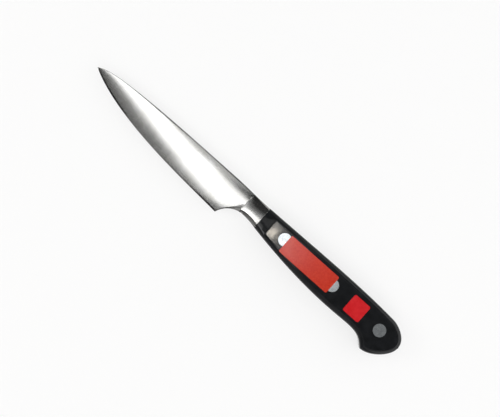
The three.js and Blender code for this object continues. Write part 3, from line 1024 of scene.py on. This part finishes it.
@dataclass
class Handle(Piece):
    """The two scales, with their rivets' seats, the label's place and the inlay's pocket."""

    forging: Forging
    bond_gap: float = 0.05
    scale_thickness: float = 5.0
    edge_round: float = 2.2
    ramp_length: float = 6.0
    ramp_ease: float = 0.4  # buffed edge between the ramp and the flat face
    front_rivet: Point = (15.3, -7.1)
    rear_rivet_setback: float = 12.6
    rear_rivet_depth: float = 9.4
    head_diameter: float = 6.7
    head_height: float = 1.5
    fit: float = 0.1
    label_size: Point = (30.7, 10.0)
    label_thickness: float = 0.12
    label_corner: float = 0.7
    label_ease: float = 0.03
    label_shift: Point = (0.7, -0.5)  # from the middle of the two rivets that it covers
    inlay_share: float = 0.515  # of the way from the middle rivet to the rear one
    inlay_side: float = 9.9
    inlay_thickness: float = 1.0
    inlay_corner: float = 1.0
    inlay_ease: float = 0.12
    edge_reach: float = 1.4  # rows lie close together this many edge rounds in from the rim
    edge_share: float = 0.4  # but no further in than this share of the handle's height
    edge_steps: int = 14
    ramp_steps: int = 16
    handle_steps: tuple[int, int, int] = (70, 40, 60)  # to the waist, the hook's point and the butt's end
    rim_steps: int = 700
    seat_steps: int = 96
    pocket_steps: int = 8
    crease: float = 28.0

    @property
    def inner(self) -> float:
        """Height of a scale's inner face above the blade's middle."""
        return self.forging.tang_thickness / 2 + self.bond_gap

    @property
    def outer(self) -> float:
        """Height of a scale's outer face above the blade's middle."""
        return self.inner + self.scale_thickness

    @property
    def rivets(self) -> dict[str, Point]:
        """The rivets' places: a straight row, the middle one halfway."""
        rear = (self.lines.handle_length - self.rear_rivet_setback, -self.rear_rivet_depth)
        middle = tuple((a + b) / 2 for a, b in zip(self.front_rivet, rear))
        return {"front": self.front_rivet, "middle": middle, "rear": rear}

    @property
    def label(self) -> Plate:
        """The paper label, over half of the front and middle rivets."""
        rivets = self.rivets
        places = zip(rivets["front"], rivets["middle"], self.label_shift)
        centre = tuple((a + b) / 2 + shift for a, b, shift in places)
        return Plate(self.place, "paper_label", centre, self.label_size, self.outer,
                     self.label_thickness, self.label_corner, self.label_ease)

    @property
    def inlay_place(self) -> Point:
        """Middle of the inlay, between the middle and rear rivets."""
        rivets = self.rivets
        return tuple(mix(a, b, self.inlay_share) for a, b in zip(rivets["middle"], rivets["rear"]))

    @property
    def inlay(self) -> Plate:
        """The enamel inlay, flush in its pocket."""
        size = (self.inlay_side, self.inlay_side)
        bottom = self.outer - self.inlay_thickness
        return Plate(self.place, "enamel_inlay", self.inlay_place, size, bottom,
                     self.inlay_thickness, self.inlay_corner, self.inlay_ease)

    @cached_property
    def rim(self) -> kdtree.KDTree:
        """Close points along the handle's outline, to measure how far in a place lies."""
        spans = [span for span in (*self.lines.under, *self.lines.back) if span.end[0] > 0]
        shares = [step / self.rim_steps for step in range(self.rim_steps + 1)]
        points = [span.at(share) for span in spans for share in shares]
        tree = kdtree.KDTree(len(points))
        for number, (x, y) in enumerate(points):
            tree.insert((x, y, 0.0), number)
        tree.balance()
        return tree

    def height(self, x: float, y: float, low: float, top: float) -> float:
        """Height of a scale's outer surface above the blade's middle.

        Args:
            x: Place along the handle.
            y: Height on the handle.
            low: The outline's underside there.
            top: The outline's back there.

        Returns:
            The surface's z: a ramp that starts as the bolster ends, then flat, rounded along the rim.
        """
        steel = self.forging
        up_ramp = min(1.0, x / self.ramp_length)
        middle, reach = (low + top) / 2, (top - low) / 2
        crown = steel.bolster_crown * (1 - up_ramp) * ((y - steel.ridge_rear) / reach) ** 2
        face = mix(steel.bolster_thickness / 2, self.outer, up_ramp) - crown
        _, _, inside = self.rim.find((x, y, 0.0))
        upper_round = mix(steel.bolster_round, self.edge_round, up_ramp)
        edge_round = self.edge_round if y < middle else upper_round
        out = max(0.0, 1 - inside / edge_round)
        rounded = edge_round * (1 - math.sqrt(1 - out**2))
        bevelled = steel.bolster_rim.inset * max(0.0, 1 - inside / steel.bolster_rim.rise)
        return face - (mix(bevelled, rounded, up_ramp) if y < middle else rounded)

    def section(self, x: float) -> Station:
        """A closed section of a scale, from its inner lower edge round its outer face.

        Args:
            x: Place along the handle.

        Returns:
            The place and its section.
        """
        low, top = self.lines.heights(x)
        reach = min(self.edge_reach * self.edge_round, self.edge_share * (top - low))
        turns = [math.pi / 2 * step / self.edge_steps for step in range(self.edge_steps + 1)]
        rows = [low + reach * (1 - math.cos(turn)) for turn in turns]
        rows += [mix(low + reach, top - reach, step / FACE_STEPS) for step in range(1, FACE_STEPS)]
        rows += [top - reach * (1 - math.cos(turn)) for turn in reversed(turns)]
        face = [(y, self.height(x, y, low, top)) for y in rows]
        return (x, [(low, self.inner), *face, (top, self.inner), (low, self.inner)])

    def blank(self, side: Side) -> BMesh:
        """A scale before its seats are cut.

        Args:
            side: The scale's side.

        Returns:
            The blank, in the knife's frame.
        """
        places = [
            *evenly(self.place.joint_gap, self.ramp_length, self.ramp_steps),
            self.ramp_length,
            *self.lines.handle_places(self.ramp_length + self.ramp_ease, *self.handle_steps),
        ]
        made = skin([self.section(x) for x in places])
        merge(made)
        open_edges = [edge for edge in made.edges if edge.is_boundary]
        bmesh.ops.holes_fill(made, edges=open_edges, sides=0)
        bmesh.ops.scale(made, vec=(1, 1, side.value), verts=made.verts[:])
        return made

    def cutters(self, side: Side) -> BMesh:
        """Bodies that cut the rivet heads' seats and, on the left, the inlay's pocket.

        Args:
            side: The scale's side.

        Returns:
            The bodies, in the knife's frame.
        """
        made = bmesh.new()
        radius = self.head_diameter / 2 + self.fit
        for x, y in self.rivets.values():
            at = Matrix.Translation((x, y, side.value * self.outer))
            bmesh.ops.create_cone(made, cap_ends=True, segments=self.seat_steps, radius1=radius,
                                  radius2=radius, depth=2 * (self.head_height + self.fit), matrix=at)
        if side is Side.LEFT:
            width = self.inlay_side + 2 * self.fit
            depth = 2 * (self.inlay_thickness + self.fit)
            at = Matrix.Translation((*self.inlay_place, self.outer))
            size = Matrix.Diagonal((width, width, depth, 1))
            pocket = bmesh.ops.create_cube(made, size=1, matrix=at @ size)
            edges = {edge for vert in pocket["verts"] for edge in vert.link_edges}
            round_off(made, upright(edges), self.inlay_corner + self.fit, self.pocket_steps)
        return made

    def build(self, side: Side) -> Object:
        """Makes one scale and cuts its seats.

        Args:
            side: The scale's side.

        Returns:
            The scale.
        """
        name = f"{side.name.lower()}_acetal_scale"
        scale = self.place.settle(self.blank(side), name, self.crease)
        cutter = self.place.settle(self.cutters(side), f"{name}_seats", self.crease)
        seats = scale.modifiers.new("seats", "BOOLEAN")
        seats.operation = "DIFFERENCE"
        seats.solver = "EXACT"
        seats.object = cutter
        shown = scale.evaluated_get(bpy.context.evaluated_depsgraph_get())
        cut = bpy.data.meshes.new_from_object(shown)
        scale.modifiers.clear()
        scale.data = cut
        bpy.data.objects.remove(cutter)
        shade(cut, self.crease)
        return scale


@dataclass
class Rivet(Piece):
    """A two-piece cutler's rivet: a post driven into a sleeve."""

    handle: Handle
    name: str
    pin_diameter: float = 3.2
    sleeve_wall: float = 0.7
    pin_end_gap: float = 0.5
    rim_ease: float = 0.05
    rim_drop: float = 0.06
    turns: int = 72
    crease: float = 12.0

    def profile(self, half: RivetHalf) -> Section:
        """A rivet half's outline, from axis to axis.

        Args:
            half: The half.

        Returns:
            The outline's radii and heights.
        """
        outer = self.handle.outer
        floor = outer - self.handle.head_height
        head = self.handle.head_diameter / 2
        pin = self.pin_diameter / 2
        rim = [(head - self.rim_ease, outer), (head, outer - self.rim_drop)]
        face = [(0.0, outer), *rim, (head, floor)]
        if half is RivetHalf.POST:
            end = self.pin_end_gap - floor
            return [*face, (pin, floor), (pin, end), (0.0, end)]
        mouth = floor - self.handle.fit
        bore = pin + self.handle.fit
        sleeve = bore + self.sleeve_wall
        below = [(radius, -z) for radius, z in face]
        return [*below, (sleeve, -floor), (sleeve, mouth), (bore, mouth), (bore, -floor), (0.0, -floor)]

    def build(self, half: RivetHalf) -> Object:
        """Turns one half about its own axis.

        Args:
            half: The half.

        Returns:
            The rivet half.
        """
        x, y = self.handle.rivets[self.name]
        made = bmesh.new()
        verts = [made.verts.new((x + radius, y, z)) for radius, z in self.profile(half)]
        edges = [made.edges.new(pair) for pair in zip(verts, verts[1:])]
        bmesh.ops.spin(made, geom=verts + edges, cent=(x, y, 0), axis=(0, 0, 1), angle=math.tau,
                       steps=self.turns, use_merge=True)
        return self.place.settle(made, f"{self.name}_{half.value}", self.crease)


@dataclass(frozen=True)
class SoftBox:
    """A lamp behind a square of white cloth, where 1 is the brightness of a white wall."""

    name: str
    middle: tuple[float, float, float]  # in the knife's plane and above the floor, in millimetres
    size: Point
    level: float
    turn: float = 0.0
    faces_down: bool = True  # or faces the knife
    mirrored: bool = True  # or lights matt surfaces alone
    tint: str = "#FFFFFF"

    def hang(self, studio: "Studio") -> None:
        """Puts the lamp in its place.

        Args:
            studio: The studio, which knows where the knife is.
        """
        width, height = (side * MILLIMETRE for side in self.size)
        data = bpy.data.lights.new(self.name, "AREA")
        data.shape = "RECTANGLE"
        data.size = width
        data.size_y = height
        data.energy = self.level * math.pi * width * height
        data.color = linear(self.tint)[:3]
        lamp = bpy.data.objects.new(self.name, data)
        where = studio.spot(*self.middle)
        aim = studio.spot(*studio.picture_middle, studio.face_height)
        away = Vector((0, 0, 1)) if self.faces_down else where - aim
        facing = away.to_track_quat("Z", "Y").to_matrix().to_4x4()
        rolled = Matrix.Rotation(math.radians(self.turn), 4, "Z")
        lamp.matrix_world = Matrix.Translation(where) @ facing @ rolled
        lamp.visible_camera = False
        lamp.visible_glossy = self.mirrored
        bpy.context.scene.collection.objects.link(lamp)


@dataclass
class Studio:
    """A pale floor, soft boxes and a camera straight above, turned as the photograph is."""

    place: KnifePlace
    picture_middle: Point = (-7.5, -7.0)
    picture_width: float = 243.75
    picture_turn: float = 41.7
    camera_height: float = 700.0
    face_height: float = 9.0
    sensor: float = 36.0
    floor_size: float = 6000.0
    floor_colour: str = "#F4F4F3"
    floor_glow: float = 0.72  # share of plain white in what the eye sees of the floor
    zenith_level: float = 0.015
    horizon_level: float = 0.4
    sky_curve: float = 2.0
    boxes: tuple[SoftBox, ...] = (
        # the bolster's lower side mirrors the first of these, and its middle the others
        SoftBox("bolster_box", (-795, -416, 700), (610, 600), 3.5),
        SoftBox("bolster_end", (-468, -150, 700), (44, 110), 1.8),
        SoftBox("bolster_glow", (-765, -68, 700), (670, 96), 0.36),
        SoftBox("bolster_fade", (-765, 25, 700), (670, 90), 0.11),
        # the ramp behind the bolster and the notch's worn edge mirror one each
        SoftBox("ramp_glow", (-385, -156, 700), (60, 368), 1.0),
        SoftBox("notch_glow", (300, -365, 1000), (560, 570), 0.38),
        # large dim boxes light the floor and the rounded edges
        SoftBox("matt_fill", (200, 0, 1600), (2400, 2400), 0.82, mirrored=False),
        SoftBox("right_box", (787, 809, 644), (1500, 1300), 1.3, faces_down=False),
        SoftBox("near_box", (1080, -390, 641), (1400, 1300), 1.3, faces_down=False),
        # the blade mirrors these when it is seen from its sides
        SoftBox("tip_wall", (-900, 800, 560), (900, 800), 0.6, faces_down=False),
        SoftBox("spine_wall", (-130, 1050, 600), (620, 460), 0.6, faces_down=False),
        SoftBox("edge_wall", (0, -1000, 620), (600, 500), 0.6, faces_down=False),
        # the ground faces, the neck and the cutting bevel mirror these, brightest along the middle
        SoftBox("blade_strip", (-178.6, -56, 1200), (287, 60), 2.9, -35.1),
        SoftBox("heel_box", (-57, -140, 1200), (36, 80), 2.8),
        SoftBox("neck_fade", (-12, -155, 1200), (54, 80), 0.5),
        SoftBox("heel_strip", (-106, -150, 1200), (75, 12), 1.3, -35.1),
        SoftBox("neck_strip", (-60, -90, 1200), (150, 36), 1.8, -21.0),
        SoftBox("spine_strip", (-120, -11, 1205), (118, 90), 0.7, -42.0),
        SoftBox("edge_strip", (-195, -155, 1200), (420, 120), 0.13, -35.1),
        SoftBox("bevel_glow", (-215, -640, 1000), (210, 240), 0.25),
        # the grip's flat face and its label mirror these
        SoftBox("grip_box", (56, -13, 1200), (60, 42), 2.4),
        SoftBox("grip_flag", (30, -10, 1190), (16, 36), 5.5),
        SoftBox("grip_spot", (33.6, -10.8, 1150), (5, 12), 100.0, tint="#FFF4E2"),
        # the rivet heads, off level, mirror one each
        SoftBox("front_rivet_box", (50, 67, 1200), (90, 80), 2.1),
        SoftBox("middle_rivet_box", (140, 67, 1200), (80, 80), 0.76),
        SoftBox("rear_rivet_box", (225, 67, 1200), (80, 80), 0.3),
    )

    def spot(self, x: float, y: float, z: float) -> Vector:
        """A place in the knife's plane, z above the floor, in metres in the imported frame."""
        origin = self.place.origin
        return Vector((x + origin.x, y + origin.y, z)) * MILLIMETRE

    def camera(self) -> None:
        """Looks straight down, so that the left face fills the picture."""
        data = bpy.data.cameras.new("camera")
        data.sensor_fit = "HORIZONTAL"
        data.sensor_width = self.sensor
        data.lens = self.sensor * self.camera_height / self.picture_width
        camera = bpy.data.objects.new("camera", data)
        camera.location = self.spot(*self.picture_middle, self.camera_height + self.face_height)
        camera.rotation_euler = (0.0, 0.0, math.radians(self.picture_turn))
        bpy.context.scene.collection.objects.link(camera)
        bpy.context.scene.camera = camera

    def room(self) -> None:
        """A room with pale walls that darkens towards its ceiling."""
        world = bpy.data.worlds.new("room")
        world.use_nodes = True
        tree = world.node_tree
        way = add_node(tree, "ShaderNodeTexCoord").outputs["Generated"]
        height = add_node(tree, "ShaderNodeSeparateXYZ", {"Vector": way}).outputs["Z"]
        down = add_node(
            tree, "ShaderNodeMath", {0: 1.0, 1: height}, operation="SUBTRACT", use_clamp=True)
        curved = add_node(
            tree, "ShaderNodeMath", {0: down.outputs[0], 1: self.sky_curve}, operation="POWER")
        level = add_node(
            tree, "ShaderNodeMapRange",
            {"Value": curved.outputs[0], "To Min": self.zenith_level, "To Max": self.horizon_level},
        )
        background = tree.nodes["Background"]
        background.inputs["Color"].default_value = (1.0, 1.0, 1.0, 1.0)
        tree.links.new(level.outputs["Result"], background.inputs["Strength"])
        bpy.context.scene.world = world

    def board(self) -> Material:
        """Matt white board that stays white to the eye and in metal, and keeps the knife's shadow.

        Returns:
            The material.
        """
        material = new_material("matt_white_board")
        tree = material.node_tree
        rays = add_node(tree, "ShaderNodeLightPath").outputs
        seen = rays["Is Camera Ray"]
        for kind in ("Is Glossy Ray", "Is Transmission Ray"):
            either = add_node(tree, "ShaderNodeMath", {0: seen, 1: rays[kind]}, operation="MAXIMUM")
            seen = either.outputs[0]
        share = add_node(tree, "ShaderNodeMath", {0: seen, 1: self.floor_glow}, operation="MULTIPLY")
        matt = add_node(tree, "ShaderNodeBsdfDiffuse", {"Color": linear(self.floor_colour)})
        glow = add_node(tree, "ShaderNodeEmission", {"Strength": 1.0})
        mixed = add_node(
            tree, "ShaderNodeMixShader",
            {0: share.outputs[0], 1: matt.outputs["BSDF"], 2: glow.outputs["Emission"]},
        )
        add_node(tree, "ShaderNodeOutputMaterial", {"Surface": mixed.outputs["Shader"]})
        return material

    def floor(self) -> None:
        """A board under the knife."""
        made = bmesh.new()
        bmesh.ops.create_grid(made, x_segments=1, y_segments=1, size=self.floor_size * MILLIMETRE / 2)
        floor = put_in_scene(made, "white_board")
        floor.data.materials.append(self.board())


def main() -> None:
    """Builds and dresses the knife, sets up the studio and logs each piece's face count."""
    logging.basicConfig(level=logging.INFO, format="%(name)s: %(message)s")
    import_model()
    bpy.context.scene.view_settings.view_transform = "Standard"
    place = KnifePlace(KnifeLines())

    steel = GroundSteel(place).material()
    acetal = BuffedAcetal(place).material()
    rivet_steel = RivetSteel(place).material()
    paper = CoatedPaper(place).material()
    enamel = RedEnamel(place).material()

    forging = Forging(place)
    forging.join(forging.build(), "forged_blade", "blade_steel", steel)
    handle = Handle(place, forging)
    for side in Side:
        handle.join(handle.build(side), f"{side.name.lower()}_scale", "scale_acetal", acetal)
    for name in handle.rivets:
        rivet = Rivet(place, handle, name)
        for half in RivetHalf:
            rivet.join(rivet.build(half), f"{name}_rivet_{half.value}", "rivet_steel", rivet_steel)
    label, inlay = handle.label, handle.inlay
    label.join(label.build(), "grip_label", "label_paper", paper)
    inlay.join(inlay.build(), "square_inlay", "inlay_enamel", enamel)

    studio = Studio(place)
    studio.camera()
    studio.room()
    studio.floor()
    for box in studio.boxes:
        box.hang(studio)


if __name__ == "__main__":
    main()
